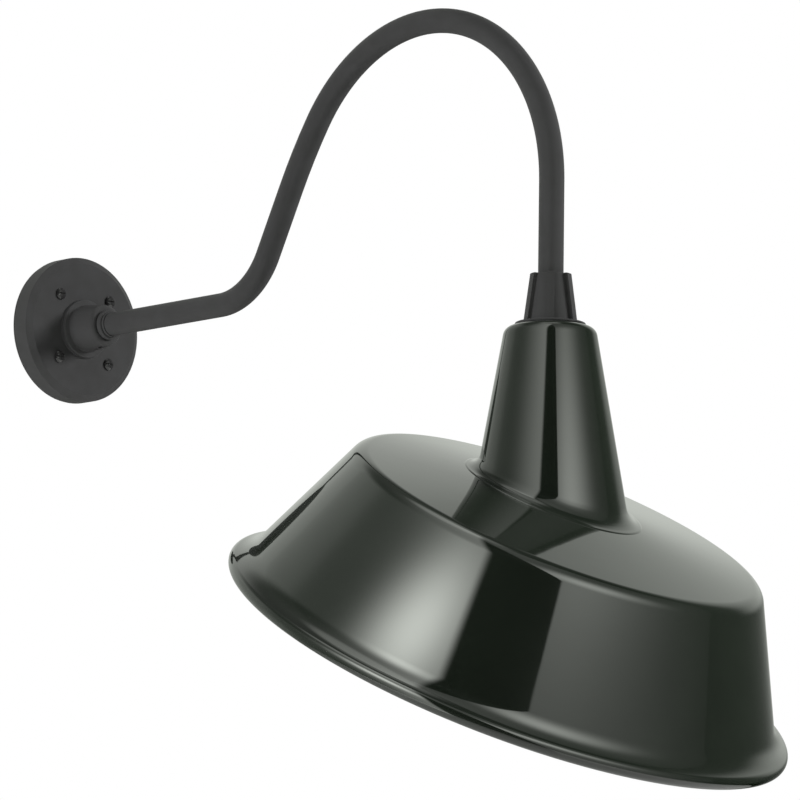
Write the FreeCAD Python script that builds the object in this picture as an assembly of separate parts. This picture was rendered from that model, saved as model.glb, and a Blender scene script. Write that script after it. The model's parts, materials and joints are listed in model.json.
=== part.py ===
"""Gooseneck wall sconce with an angled bowl shade, in millimetres.

Frame: the origin is the centre of the wall plate on the wall's surface, +Z is up, and the arm comes out
of the wall along -Y. The arm lies in the plane X = 0. The shade hangs on the arm's vertical end.
"""
import FreeCAD
import Part
import math
import os

V = FreeCAD.Vector
X_AXIS, Y_AXIS, Z_AXIS = V(1, 0, 0), V(0, 1, 0), V(0, 0, 1)
ORIGIN = V(0, 0, 0)

# ---- wall plate and what fastens it ----
plate_radius = 66.6            # round cast plate, about 5.2 inches across
plate_side = 16.0              # height of its straight edge
plate_bevel = 6.0              # width of the bevel round its face
plate_bevel_rise = 3.5         # how far the face stands above the straight edge
plate_rim_wall = 5.0
plate_face_wall = 5.5
gasket_thickness = 2.5
gasket_inset = 0.8             # gasket edge inside the plate edge
gasket_width = 11.0
screw_circle = 82.6            # diameter of the circle of the four wall screws
screw_count = 4
screw_radius = 2.4             # number 10 machine screw
screw_clearance = 0.25
screw_head_radius = 5.3
screw_head_height = 3.4
screw_reach = 14.0             # thread that stands out behind the wall plane
screw_neck = 0.25              # the shank's unthreaded length is this much thinner all round
screw_thread_start = 4.0       # the thread starts this far in front of the wall plane
screw_slot_width = 1.4
screw_slot_depth = 1.5
boss_radius = 6.0              # cast boss round each screw hole, in the hollow back
boss_recess = 2.0              # each boss ends this far short of the plate's back edge

# ---- hub on the wall plate ----
hub_ring_radius = 27.0
hub_ring_height = 4.5
hub_root_radius = 21.5
hub_nose_radius = 18.6
hub_length = 33.0              # from the plate's face to the hub's nose
hub_nose_round = 4.5
lock_ring_radius = 13.6
lock_ring_length = 7.5
lock_ring_lip = 1.9            # smaller step on the side of the pipe
lock_ring_lip_length = 2.4
hub_set_screw_radius = 2.5
hub_set_screw_depth = 9.0      # from the hub's nose back to the set screw

# ---- arm: half-inch pipe bent in one plane ----
pipe_radius = 10.65
pipe_wall = 2.8
thread_clearance = 0.05        # pipe in the hub, which does not turn
arm_out = 210.8                # wall to the start of the first bend
first_bend_radius = 69.5
rise_angle = 62.5              # slope of the rising stretch
rise_length = 63.0
ease_radius = 497.0            # slight bow that leads into the crown
ease_angle = 7.4
crown_radius = 160.1
drop_length = 80.3             # end of the crown to the top of the fitter
pipe_end_setback = 3.0         # pipe end short of the hollow back's floor

# ---- wires ----
lead_radius = 1.3
lead_gap = 2.0                 # each lead's distance from the pipe's centreline
lead_turn_radius = 6.0
lead_tail = 6.0                # straight lead before its connector
connector_radius = 4.8
connector_tip_radius = 3.2
connector_length = 21.0
connector_bite = 5.0           # lead held inside its connector
ground_screw_offset = 26.0     # from the plate's centre, towards +X
ground_screw_radius = 2.0
ground_head_radius = 3.8
ground_head_height = 3.4

# ---- fitter: ribbed casting on the arm's end ----
fitter_height = 41.2           # top to the flange's upper face
fitter_top_radius = 18.2       # over the ribs
fitter_foot_radius = 24.2
fitter_groove = 3.3            # depth of the flutes between the ribs
rib_count = 6
rib_width = 6.6
rib_phase = 45.0
flange_radius = 29.6
flange_thickness = 1.9
running_clearance = 0.1        # pipe in the fitter, which turns on it
pipe_in_fitter = 25.0
wire_way_radius = 8.0
fitter_set_screw_radius = 2.0
fitter_set_screw_drop = 12.0   # below the fitter's top

# ---- shade ----
sheet = 1.3                    # enamelled steel
seal_thickness = 1.0           # rubber between flange and shade
seal_inset = 0.7
neck_top_radius = 38.0         # where the cone would meet the flat top
neck_slope = 0.175             # growth of the neck's radius per mm of drop
neck_top_round = 8.5
neck_hole_radius = 12.0
bowl_tilt = 28.58               # bowl axis away from vertical
bowl_centre_inset = 46.1       # rim centre nearer the wall than the neck's axis
neck_length = 131.9            # neck top to the bowl's top surface, on the neck's axis
top_slope = 0.124              # fall of the bowl's top per mm of radius
shoulder_radius = 177.3
shoulder_round = 13.0
side_height = 122.3            # shoulder corner down to the lip's valley, along the axis
side_flare = 0.4737            # growth of the side wall's radius per mm of drop
valley_round = 5.0
lip_fall = 18.0                # lip slope below the rim plane
lip_width = 9.5
bead_radius = 3.0              # rolled edge
bead_sink = 0.2                # how far the bead stands above the lip it is rolled from
bowl_hole_radius = 53.0        # hole in the bowl's top, under the neck
foot_width = 11.0              # flared foot of the neck on the bowl
foot_thickness = 1.4
foot_round = 8.0

# ---- lampholder ----
bracket_radius = 27.0
bracket_thickness = 1.6
bracket_skirt = 5.0            # turned-down edge of the bracket
bracket_screw_circle = 37.0
bracket_screw_radius = 1.6
bracket_screw_depth = 8.0      # thread inside the fitter's ribs
small_head_radius = 3.0
small_head_height = 2.2
small_slot_width = 0.8
small_slot_depth = 0.9
holder_radius = 22.0
holder_height = 50.0
holder_well_radius = 12.2      # hollow in its top for the leads
holder_well_depth = 7.5
holder_floor = 12.5            # porcelain between the two hollows
holder_screw_circle = 33.4
holder_screw_radius = 1.2
holder_screw_thread = 2.8      # thread held in the bracket's plate, with the sheet above it
terminal_offset = 8.4
terminal_radius = 3.2
terminal_height = 2.2
shell_radius = 14.0            # outside of the screw shell
shell_wall = 0.5
shell_clearance = 0.15
shell_length = 24.0
contact_strip_thickness = 0.6
contact_strip_width = 5.0
contact_gap = 0.2              # the strip's tongue above the lamp's end contact
lead_sway_radius = 9.0         # bends that take the leads out to the terminals

# ---- lamp ----
lamp_clearance = 0.35          # lamp cap inside the holder's shell
cap_wall = 0.4
cap_length = 22.0
cap_thread_count = 5
cap_thread_height = 0.8
cap_solder_round = 3.0
contact_radius = 4.6
contact_height = 1.8
insulator_height = 3.6
glass_wall = 0.8
glass_neck_radius = 12.4
glass_radius = 36.5
glass_length = 129.0           # from the cap's rim to the glass's lowest point
glass_neck_length = 34.0
glass_neck_outer = 16.5
glass_lap = 6.0                # glass inside the cap
stem_radius = 4.2
stem_length = 62.0
stem_foot_radius = 9.0
support_radius = 0.5
support_spread = 13.0
filament_radius = 1.1
filament_gap = 0.05            # below the ends of the support wires
filament_height = 20.0         # above the support wires' feet

# ---- places worked out from the sizes above ----
plate_back = gasket_thickness
plate_face = plate_back + plate_side + plate_bevel_rise
hollow_floor = plate_face - plate_face_wall
hub_nose = plate_face + hub_length
pipe_start = hollow_floor + pipe_end_setback
pipe_bore = pipe_radius - pipe_wall


def spin(face, centre=ORIGIN, axis=Z_AXIS):
    """The solid of a face turned once round an axis."""
    return face.revolve(centre, axis, 360)


def cut_corner(before, corner, after, radius):
    """Start, middle and end of the arc of that radius that rounds a corner."""
    into, out = (before - corner).normalize(), (after - corner).normalize()
    half = into.getAngle(out) / 2
    reach = radius / math.tan(half)
    middle = (into + out).normalize()
    depth = radius / math.sin(half) - radius
    return corner + into * reach, corner + middle * depth, corner + out * reach


def outline(corners):
    """A flat face in the XZ plane from (x, z) or (x, z, rounding radius) corners."""
    points = [V(c[0], 0, c[1]) for c in corners]
    rounds = [c[2] if len(c) > 2 else 0 for c in corners]
    edges, count = [], len(points)
    arcs = [cut_corner(points[i - 1], points[i], points[(i + 1) % count], rounds[i]) if rounds[i] else None
            for i in range(count)]
    for i in range(count):
        if arcs[i]:
            edges.append(Part.Arc(*arcs[i]).toShape())
        start = arcs[i][2] if arcs[i] else points[i]
        following = (i + 1) % count
        end = arcs[following][0] if arcs[following] else points[following]
        if (end - start).Length > 1e-6:
            edges.append(Part.LineSegment(start, end).toShape())
    return Part.Face(Part.Wire(edges))


def turned(corners, place=ORIGIN):
    """A solid of revolution about the vertical axis through a place."""
    solid = spin(outline(corners))
    solid.translate(place)
    return solid


def side_step(corners, distance):
    """The same open chain of corners, moved to its right by a distance, with its rounding to match."""
    points = [V(c[0], 0, c[1]) for c in corners]
    rounds = [c[2] if len(c) > 2 else 0 for c in corners]
    headings = [(b - a).normalize() for a, b in zip(points, points[1:])]
    rights = [V(h.z, 0, -h.x) for h in headings]
    moved = [points[0] + rights[0] * distance]
    radii = [0]
    for i in range(1, len(points) - 1):
        bisector = (rights[i - 1] + rights[i]).normalize()
        stretch = distance / bisector.dot(rights[i])
        moved.append(points[i] + bisector * stretch)
        left_turn = headings[i - 1].cross(headings[i]).y < 0
        radii.append(rounds[i] + (distance if left_turn else -distance) if rounds[i] else 0)
    moved.append(points[-1] + rights[-1] * distance)
    radii.append(0)
    return [(p.x, p.z, r) for p, r in zip(moved, radii)]


def out_from_wall(shape):
    """Turns a shape made along +Z so that it points out of the wall, along -Y."""
    shape.rotate(ORIGIN, X_AXIS, 90)
    return shape


def round_the_axis(shape, count, phase=0.0, centre=ORIGIN, axis=Z_AXIS):
    """Copies of a shape, evenly spaced round an axis."""
    copies = []
    for i in range(count):
        copy = shape.copy()
        copy.rotate(centre, axis, phase + 360.0 * i / count)
        copies.append(copy)
    return copies


def slotted_screw(shank_radius, shank_length, head_radius, head_height, slot_width, slot_depth,
                  plain_length=0.0, neck=0.0):
    """A round-head screw on +Z: the head sits on Z = 0 and the shank goes down from it.

    For plain_length under the head the shank has no thread, and is thinner by neck all round.
    """
    head = turned([(0, 0), (head_radius, 0, 0.4), (head_radius, head_height * 0.35),
                   (head_radius * 0.72, head_height * 0.86, head_radius * 0.6), (0, head_height)])
    shank = turned([(0, 0.2), (shank_radius, 0.2), (shank_radius, -shank_length + shank_radius * 0.4),
                    (shank_radius * 0.6, -shank_length), (0, -shank_length)])
    if plain_length:
        shank = shank.cut(turned([(shank_radius - neck, 0), (shank_radius + 1, 0), (shank_radius + 1, -plain_length),
                                  (shank_radius - neck, -plain_length)]))
    slot = Part.makeBox(3 * head_radius, slot_width, 2 * slot_depth,
                        V(-1.5 * head_radius, -slot_width / 2, head_height - slot_depth))
    return head.fuse(shank).cut(slot).removeSplitter()


def set_screw(radius, length, socket_radius, socket_depth):
    """A headless screw with a hexagon socket in its outer end, from Z = 0 up to its outer end."""
    body = turned([(0, 0), (radius * 0.6, 0), (radius, radius * 0.4), (radius, length), (0, length)])
    corners = [V(socket_radius * math.cos(k * math.pi / 3), socket_radius * math.sin(k * math.pi / 3),
                 length - socket_depth) for k in range(7)]
    socket = Part.Face(Part.makePolygon(corners)).extrude(V(0, 0, 2 * socket_depth))
    return body.cut(socket)


class Route:
    """A planar path of straight runs and tangent arcs in the arm's plane: out from the wall, and up."""

    def __init__(self, out, up, heading):
        self.out, self.up, self.heading = out, up, math.radians(heading)
        self.edges = []
        self.length = 0.0

    def point(self):
        return V(0, -self.out, self.up)

    def run(self, length):
        start = self.point()
        self.out += length * math.cos(self.heading)
        self.up += length * math.sin(self.heading)
        self.edges.append(Part.LineSegment(start, self.point()).toShape())
        self.length += length
        return self

    def turn(self, radius, angle):
        """An arc that turns left (up, on the way out) by an angle, or right if it is negative."""
        side = 1 if angle > 0 else -1
        centre_out = self.out - side * radius * math.sin(self.heading)
        centre_up = self.up + side * radius * math.cos(self.heading)
        places = [self.point()]
        for share in (0.5, 1.0):
            bearing = self.heading + math.radians(angle) * share
            self.out = centre_out + side * radius * math.sin(bearing)
            self.up = centre_up - side * radius * math.cos(bearing)
            places.append(self.point())
        self.heading += math.radians(angle)
        self.edges.append(Part.Arc(*places).toShape())
        self.length += radius * abs(math.radians(angle))
        return self

    def tube(self, radius):
        first = self.edges[0]
        start = first.Vertexes[0].Point
        along = first.tangentAt(first.FirstParameter)
        ring = Part.Wire(Part.makeCircle(radius, start, along))
        return Part.Wire(self.edges).makePipeShell([ring], True, False)


def arm_route(start, side=0.0, extra_drop=0.0):
    """The arm's centreline, or a line beside it: side is the distance to the left of the way out."""
    route = Route(start, side, 0)
    route.run(arm_out - start)
    route.turn(first_bend_radius - side, rise_angle)
    route.run(rise_length)
    route.turn(ease_radius + side, -ease_angle)
    route.turn(crown_radius + side, -(rise_angle + 90 - ease_angle))
    return route.run(drop_length + extra_drop)


centreline = arm_route(pipe_start)
stem_out = centreline.out                  # distance from the wall to the shade's vertical axis
fitter_top = centreline.up
stem_axis = V(0, -stem_out, 0)
flange_top = fitter_top - fitter_height
flange_bottom = flange_top - flange_thickness
neck_top = flange_bottom - seal_thickness
bracket_top = neck_top - sheet
bracket_bottom = bracket_top - bracket_thickness
holder_bottom = bracket_bottom - holder_height
well_floor = bracket_bottom - holder_well_depth
cavity_top = well_floor - holder_floor


# ---------------------------------------------------------------- wall plate
def wall_plate():
    """Cast plate with a bevelled face, a hollow back, bosses for its screws and a stepped hub."""
    body = turned([
        (0, plate_back), (plate_radius, plate_back, 0.6), (plate_radius, plate_back + plate_side, 0.8),
        (plate_radius - plate_bevel, plate_face, 0.8), (hub_ring_radius, plate_face, 1.0),
        (hub_ring_radius, plate_face + hub_ring_height * 0.75, 2.0),
        (hub_root_radius, plate_face + hub_ring_height, 0.9), (hub_nose_radius, hub_nose, hub_nose_round),
        (0, hub_nose)])
    hollow_radius = plate_radius - plate_rim_wall
    hollow = turned([(0, 0), (hollow_radius, 0), (hollow_radius, hollow_floor, 2.5), (0, hollow_floor)])
    hole_circle = V(screw_circle / 2, 0, 0)
    boss_end = plate_back + boss_recess
    boss = Part.makeCylinder(boss_radius, hollow_floor + 1 - boss_end, hole_circle + V(0, 0, boss_end))
    hole = Part.makeCylinder(screw_radius + screw_clearance, plate_face + 2, hole_circle)
    ground_hole = Part.makeCylinder(ground_screw_radius, plate_face_wall - 1.5,
                                    V(ground_screw_offset, 0, hollow_floor - 0.5))
    body = body.cut(hollow).fuse(round_the_axis(boss, screw_count, 45))
    body = body.cut(round_the_axis(hole, screw_count, 45)).cut(ground_hole)
    body = body.cut(Part.makeCylinder(pipe_radius + thread_clearance, hub_nose + 1))
    plate = out_from_wall(body)
    return plate.cut(hub_set_screw_hole()).removeSplitter()


def hub_set_screw_hole():
    out = hub_nose - hub_set_screw_depth
    return Part.makeCylinder(hub_set_screw_radius + thread_clearance, hub_root_radius + 2, V(0, -out, 0), -Z_AXIS)


def hub_set_screw():
    """Socket set screw under the hub that locks the arm."""
    out = hub_nose - hub_set_screw_depth
    length = hub_nose_radius - pipe_radius - thread_clearance
    screw = set_screw(hub_set_screw_radius, length, hub_set_screw_radius * 0.55, 2.0)
    screw.rotate(ORIGIN, X_AXIS, 180)
    screw.translate(V(0, -out, -pipe_radius - thread_clearance))
    return screw


def wall_gasket():
    outer = plate_radius - gasket_inset
    return out_from_wall(turned([(outer - gasket_width, 0), (outer, 0), (outer, gasket_thickness),
                                 (outer - gasket_width, gasket_thickness)]))


def wall_screws():
    """Four slotted round-head screws, whose threads stand out behind the wall plane as studs."""
    screw = slotted_screw(screw_radius, plate_face + screw_reach, screw_head_radius, screw_head_height,
                          screw_slot_width, screw_slot_depth, plate_face - screw_thread_start, screw_neck)
    offset = screw_circle / 2 * math.sqrt(0.5)
    screws = []
    for side in (-1, 1):
        for level in (-1, 1):
            copy = screw.copy()
            copy.translate(V(side * offset, level * offset, plate_face))
            screws.append(out_from_wall(copy))
    return Part.Compound(screws)


def lock_ring():
    """Stepped ring on the pipe, against the hub's nose."""
    inner = pipe_radius + thread_clearance
    lip = lock_ring_radius - lock_ring_lip
    step = hub_nose + lock_ring_length - lock_ring_lip_length
    return out_from_wall(turned([
        (inner, hub_nose), (lock_ring_radius, hub_nose, 0.5), (lock_ring_radius, step, 1.2), (lip, step, 0.3),
        (lip, hub_nose + lock_ring_length, 0.5), (inner, hub_nose + lock_ring_length)]))


# ---------------------------------------------------------------- arm and wires
def arm():
    inner = arm_route(pipe_start, 0.0, pipe_in_fitter)
    outer = arm_route(pipe_start, 0.0, pipe_in_fitter)
    pipe = outer.tube(pipe_radius).cut(inner.tube(pipe_bore))
    ideal = math.pi * (pipe_radius ** 2 - pipe_bore ** 2) * outer.length
    print("arm volume against section times length: %.5f" % (pipe.Volume / ideal))
    return pipe


def supply_lead(side):
    """A lead from its connector in the hollow back, through the whole arm, to the pipe's lower end."""
    exit_out = (plate_back + hollow_floor) / 2
    heading = -90 if side > 0 else 90
    route = Route(exit_out, side * (lead_gap + lead_turn_radius + lead_tail + connector_bite), heading)
    route.run(lead_tail + connector_bite)
    route.turn(lead_turn_radius, 90) if side > 0 else route.turn(lead_turn_radius, -90)
    rest = arm_route(route.out, side * lead_gap, pipe_in_fitter - lead_gap)
    route.edges += rest.edges
    route.length += rest.length
    return route.tube(lead_radius)


def connector_blank():
    """A twist-on wire connector along +Z, closed at its far end, with its skirt at Z = 0."""
    body = turned([(0, 0), (connector_radius, 0, 0.5), (connector_radius, connector_length * 0.3),
                   (connector_tip_radius, connector_length, 1.5), (0, connector_length)])
    ridge = Part.makeBox(2.2 * connector_radius, 1.2, connector_length * 0.5,
                         V(-1.1 * connector_radius, -0.6, connector_length * 0.12))
    limit = turned([(0, 0), (connector_radius + 0.7, 0), (connector_radius + 0.7, connector_length * 0.35),
                    (connector_tip_radius + 0.9, connector_length), (0, connector_length)])
    body = body.fuse([r.common(limit) for r in round_the_axis(ridge, 3)])
    return body.cut(Part.makeCylinder(lead_radius, connector_bite)).removeSplitter()


def wire_connectors():
    """Three connectors in the plate's hollow back: on the two supply leads and on the ground lead."""
    level = (plate_back + hollow_floor) / 2
    start = lead_gap + lead_turn_radius + lead_tail
    placed = []
    for angle, distance in ((90, start), (-90, start), (0, ground_start() + lead_tail)):
        piece = connector_blank()
        piece.rotate(ORIGIN, Y_AXIS, 90)
        piece.translate(V(distance, 0, 0))
        piece.rotate(ORIGIN, Z_AXIS, angle)
        piece.translate(V(0, 0, level))
        placed.append(out_from_wall(piece))
    return Part.Compound(placed)


def ground_start():
    return ground_screw_offset + ground_head_radius


def ground_lead():
    """Short green lead from the ground screw to its connector."""
    level = (plate_back + hollow_floor) / 2
    length = lead_tail + connector_bite
    return out_from_wall(Part.makeCylinder(lead_radius, length, V(ground_start(), 0, level), X_AXIS))


def ground_screw():
    """Green hexagon-head screw in the floor of the hollow back, reaching the ground lead's end."""
    level = (plate_back + hollow_floor) / 2
    foot = level - ground_head_height / 2
    corners = [V(ground_screw_offset + ground_head_radius * math.cos(k * math.pi / 3 + math.pi / 6) / 0.866,
                 ground_head_radius * math.sin(k * math.pi / 3 + math.pi / 6) / 0.866, foot) for k in range(7)]
    head = Part.Face(Part.makePolygon(corners)).extrude(V(0, 0, ground_head_height))
    washer = Part.makeCylinder(ground_head_radius, hollow_floor - foot - ground_head_height,
                               V(ground_screw_offset, 0, foot + ground_head_height))
    shank = Part.makeCylinder(ground_screw_radius, plate_face_wall - 2, V(ground_screw_offset, 0, hollow_floor))
    return out_from_wall(head.fuse([washer, shank]).removeSplitter())


# ---------------------------------------------------------------- fitter
def fitter():
    """Ribbed casting that turns on the pipe and carries the shade under its flange."""
    core_top = fitter_top_radius - fitter_groove
    core_foot = fitter_foot_radius - fitter_groove
    core = turned([(0, flange_bottom), (flange_radius, flange_bottom, 0.4), (flange_radius, flange_top, 0.7),
                   (core_foot, flange_top, 0.8), (core_top, fitter_top, 0.8), (0, fitter_top)], stem_axis)
    envelope = turned([(0, flange_top - 1), (fitter_foot_radius, flange_top - 1),
                       (fitter_foot_radius, flange_top), (fitter_top_radius, fitter_top, 0.8), (0, fitter_top)],
                      stem_axis)
    blank = Part.makeBox(fitter_foot_radius * 1.2, rib_width, fitter_height + 2,
                         V(0, -rib_width / 2, flange_top - 1) + stem_axis)
    ribs = [r.common(envelope) for r in round_the_axis(blank, rib_count, rib_phase, stem_axis)]
    body = core.fuse(ribs)
    pipe_seat = fitter_top - pipe_in_fitter
    body = body.cut(Part.makeCylinder(pipe_radius + running_clearance, pipe_in_fitter + running_clearance + 1,
                                      stem_axis + V(0, 0, pipe_seat - running_clearance)))
    body = body.cut(Part.makeCylinder(wire_way_radius, fitter_height + 10, stem_axis + V(0, 0, flange_bottom - 1)))
    for screw in bracket_screw_places():
        body = body.cut(Part.makeCylinder(bracket_screw_radius, bracket_screw_depth + 0.5, screw))
    for blank in fitter_set_screw_places(fitter_foot_radius):
        body = body.cut(blank)
    return body.removeSplitter()


def bracket_screw_places():
    """Points on the flange's lower face, under every second rib."""
    places = []
    for i in range(0, rib_count, 2):
        angle = math.radians(rib_phase + 360.0 * i / rib_count)
        reach = bracket_screw_circle / 2
        places.append(stem_axis + V(reach * math.cos(angle), reach * math.sin(angle), flange_bottom))
    return places


def fitter_set_screw_places(length):
    """Blanks for the set screws, in the ribs on the side away from the room."""
    level = fitter_top - fitter_set_screw_drop
    blanks = []
    for i in (0, 1):
        angle = rib_phase + 360.0 * i / rib_count
        blank = Part.makeCylinder(fitter_set_screw_radius, length, V(0, 0, level), X_AXIS)
        blank.rotate(ORIGIN, Z_AXIS, angle)
        blank.translate(stem_axis)
        blanks.append(blank)
    return blanks


def fitter_set_screws():
    """Two socket set screws that hold the shade at its aim."""
    level = fitter_top - fitter_set_screw_drop
    share = fitter_set_screw_drop / fitter_height
    rib_face = fitter_top_radius + (fitter_foot_radius - fitter_top_radius) * share
    start = pipe_radius + running_clearance
    screws = []
    for i in (0, 1):
        screw = set_screw(fitter_set_screw_radius, rib_face - start - 0.6, fitter_set_screw_radius * 0.55, 1.6)
        screw.rotate(ORIGIN, Y_AXIS, 90)
        screw.translate(V(start, 0, level))
        screw.rotate(ORIGIN, Z_AXIS, rib_phase + 360.0 * i / rib_count)
        screw.translate(stem_axis)
        screws.append(screw)
    return Part.Compound(screws)


def flange_seal():
    """Rubber washer between the fitter's flange and the shade's flat top."""
    outer = flange_radius - seal_inset
    seal = turned([(wire_way_radius + 2, neck_top), (outer, neck_top), (outer, flange_bottom),
                   (wire_way_radius + 2, flange_bottom)], stem_axis)
    return seal.cut([Part.makeCylinder(bracket_screw_radius + 0.2, 2 * seal_thickness, p - V(0, 0, seal_thickness))
                     for p in bracket_screw_places()])


# ---------------------------------------------------------------- shade
axis_drop = neck_top - neck_length           # height of the bowl's top surface on the neck's axis


def bowl_place(shape):
    """Tilts a shape made round the bowl's own axis, rim plane at Z = 0, and sets it under the neck."""
    tilt = math.radians(bowl_tilt)
    # the neck's axis meets the bowl's top cone at this distance from the bowl's own axis
    top_height = shoulder_height() + top_slope * shoulder_radius
    across = bowl_centre_inset - top_height * math.sin(tilt)
    meet = across / math.cos(tilt)
    for _ in range(20):
        height = top_height - top_slope * abs(meet)
        meet = (bowl_centre_inset - height * math.sin(tilt)) / math.cos(tilt)
    height = top_height - top_slope * abs(meet)
    rim_up = axis_drop - height * math.cos(tilt) + meet * math.sin(tilt)
    shape.rotate(ORIGIN, X_AXIS, bowl_tilt)
    shape.translate(V(0, -stem_out + bowl_centre_inset, rim_up))
    return shape


def shoulder_height():
    return side_height + valley_height()


def valley_height():
    """Height of the lip's valley above the bead's centre line."""
    return lip_width * math.sin(math.radians(lip_fall)) + bead_radius


def bowl_chain():
    """Outer side of the bowl's sheet from its axis to the edge of its lip."""
    shoulder = shoulder_height()
    valley = valley_height()
    valley_radius = shoulder_radius + side_flare * side_height
    fall = math.radians(lip_fall)
    return [(0, shoulder + top_slope * shoulder_radius), (shoulder_radius, shoulder, shoulder_round),
            (valley_radius, valley, valley_round),
            (valley_radius + lip_width * math.cos(fall), valley - lip_width * math.sin(fall))]


def bowl_filled(grow):
    """The bowl as a closed lump, larger all round by an amount."""
    chain = side_step(bowl_chain(), -grow) if grow else bowl_chain()
    chain[0] = (0, chain[0][1] + chain[0][0] * top_slope)
    return bowl_place(turned(chain + [(0, chain[-1][1])]))


def neck_lump(grow, bottom):
    """The neck's cone as a closed lump, larger all round by an amount."""
    top = neck_top + grow
    lean = math.sqrt(1 + neck_slope ** 2)
    radius = neck_top_radius + grow * lean - neck_slope * grow
    low_radius = radius + neck_slope * (top - bottom)
    return turned([(0, bottom), (low_radius, bottom), (radius, top, neck_top_round + grow), (0, top)], stem_axis)


def neck_lowest():
    return axis_drop - 90


def shade_bowl():
    """Spun steel bowl with a rounded shoulder, a flared lip and a rolled edge."""
    outer = bowl_chain()
    inner = side_step(outer, sheet)
    inner[0] = (0, inner[0][1] + inner[0][0] * top_slope)
    skin = turned(outer + inner[::-1])
    edge = V(outer[-1][0], 0, outer[-1][1])
    fall = math.radians(lip_fall)
    centre = edge - V(math.sin(fall), 0, math.cos(fall)) * (bead_radius - bead_sink)
    bead = Part.makeTorus(centre.x, bead_radius, V(0, 0, centre.z))
    bowl = bowl_place(skin.fuse(bead))
    return bowl.cut(Part.makeCylinder(bowl_hole_radius, neck_length, V(0, -stem_out, neck_lowest())))


def shade_neck():
    """Steel neck: a cone with a flat top and a flared foot that is welded on the bowl's tilted top."""
    cone = neck_lump(0, neck_lowest())
    bowl = bowl_filled(0)
    layer = bowl_filled(foot_thickness)
    wide = turned([(0, neck_lowest()), (neck_top_radius + foot_width + neck_slope * (neck_top - neck_lowest()),
                                        neck_lowest()),
                   (neck_top_radius + foot_width, neck_top), (0, neck_top)], stem_axis)
    body = cone.fuse(layer.common(wide)).cut(bowl).removeSplitter()
    body = body.makeFillet(foot_round, foot_corner(body))
    body = body.cut(neck_lump(-sheet, neck_lowest()))
    body = body.cut(Part.makeCylinder(neck_hole_radius, 4 * sheet, stem_axis + V(0, 0, neck_top - 2 * sheet)))
    holes = [Part.makeCylinder(bracket_screw_radius + 0.2, 4 * sheet, p - V(0, 0, 4 * sheet))
             for p in bracket_screw_places()]
    return body.cut(holes)


def foot_corner(body):
    """The edges where the neck's cone meets the foot's upper face."""
    found = []
    for edge in body.Edges:
        first, last = edge.ParameterRange
        on_cone = True
        heights = []
        for share in (0.1, 0.37, 0.63, 0.9):
            p = edge.valueAt(first + (last - first) * share)
            reach = math.hypot(p.x, p.y + stem_out)
            on_cone = on_cone and abs(reach - neck_top_radius - neck_slope * (neck_top - p.z)) < 0.05
            heights.append(p.z)
        if on_cone and max(heights) < neck_top - neck_top_round - 5 and edge.Length > 5:
            vertical = abs(heights[0] - heights[-1]) > 0.9 * edge.Length
            if not vertical:
                found.append(edge)
    return found


# ---------------------------------------------------------------- lampholder
def socket_bracket():
    """Pressed steel plate under the shade's top, with a turned-down edge, that carries the lampholder."""
    drop = bracket_bottom - bracket_skirt
    plate = turned([
        (neck_hole_radius, bracket_bottom), (bracket_radius - bracket_thickness, bracket_bottom, 0.6),
        (bracket_radius - bracket_thickness, drop), (bracket_radius, drop),
        (bracket_radius, bracket_top, 2.2), (neck_hole_radius, bracket_top)], stem_axis)
    holes = [Part.makeCylinder(bracket_screw_radius + 0.1, 20, p - V(0, 0, 18)) for p in bracket_screw_places()]
    taps = [Part.makeCylinder(holder_screw_radius, 4 * bracket_thickness,
                              p + V(0, 0, bracket_bottom - bracket_thickness)) for p in holder_screw_places()]
    return plate.cut(holes + taps)


def bracket_screws():
    """Three screws up through the bracket and the shade's top into the fitter's ribs."""
    shank = bracket_screw_depth + seal_thickness + sheet + bracket_thickness
    screws = []
    for place in bracket_screw_places():
        screw = slotted_screw(bracket_screw_radius, shank, small_head_radius, small_head_height,
                              small_slot_width, small_slot_depth)
        screw.rotate(ORIGIN, X_AXIS, 180)
        screw.translate(V(place.x, place.y, bracket_bottom))
        screws.append(screw)
    return Part.Compound(screws)


def holder_screw_places():
    """Two points on the neck's axis level zero, between the bracket's screws."""
    reach = holder_screw_circle / 2
    turn = math.radians(rib_phase + 180.0 / rib_count * 3)
    return [stem_axis + V(side * reach * math.cos(turn), side * reach * math.sin(turn), 0) for side in (-1, 1)]


def holder_body():
    """Glazed porcelain lampholder body with a hollow for the leads above and one for the shell below."""
    cavity_radius = shell_radius + shell_clearance
    body = turned([
        (0, bracket_bottom), (holder_radius - 4, bracket_bottom, 1.0), (holder_radius - 4, bracket_bottom - 9, 1.5),
        (holder_radius, bracket_bottom - 15, 3.0), (holder_radius, holder_bottom, 2.0), (0, holder_bottom)],
        stem_axis)
    well = Part.makeCylinder(holder_well_radius, holder_well_depth + 1, stem_axis + V(0, 0, well_floor))
    cavity = Part.makeCylinder(cavity_radius, cavity_top - holder_bottom + 1, stem_axis + V(0, 0, holder_bottom - 1))
    cuts = [well, cavity]
    for place in bracket_screw_places():
        cuts.append(Part.makeCylinder(small_head_radius + 0.5, small_head_height + 1.5,
                                      V(place.x, place.y, bracket_bottom - small_head_height - 0.5)))
    for place in holder_screw_places():
        cuts.append(Part.makeCylinder(holder_screw_radius + 0.15, holder_height + 2,
                                      place + V(0, 0, holder_bottom - 1)))
        cuts.append(Part.makeCylinder(small_head_radius, small_head_height + 1,
                                      place + V(0, 0, holder_bottom - 1)))
    return body.cut(cuts).removeSplitter()


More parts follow.
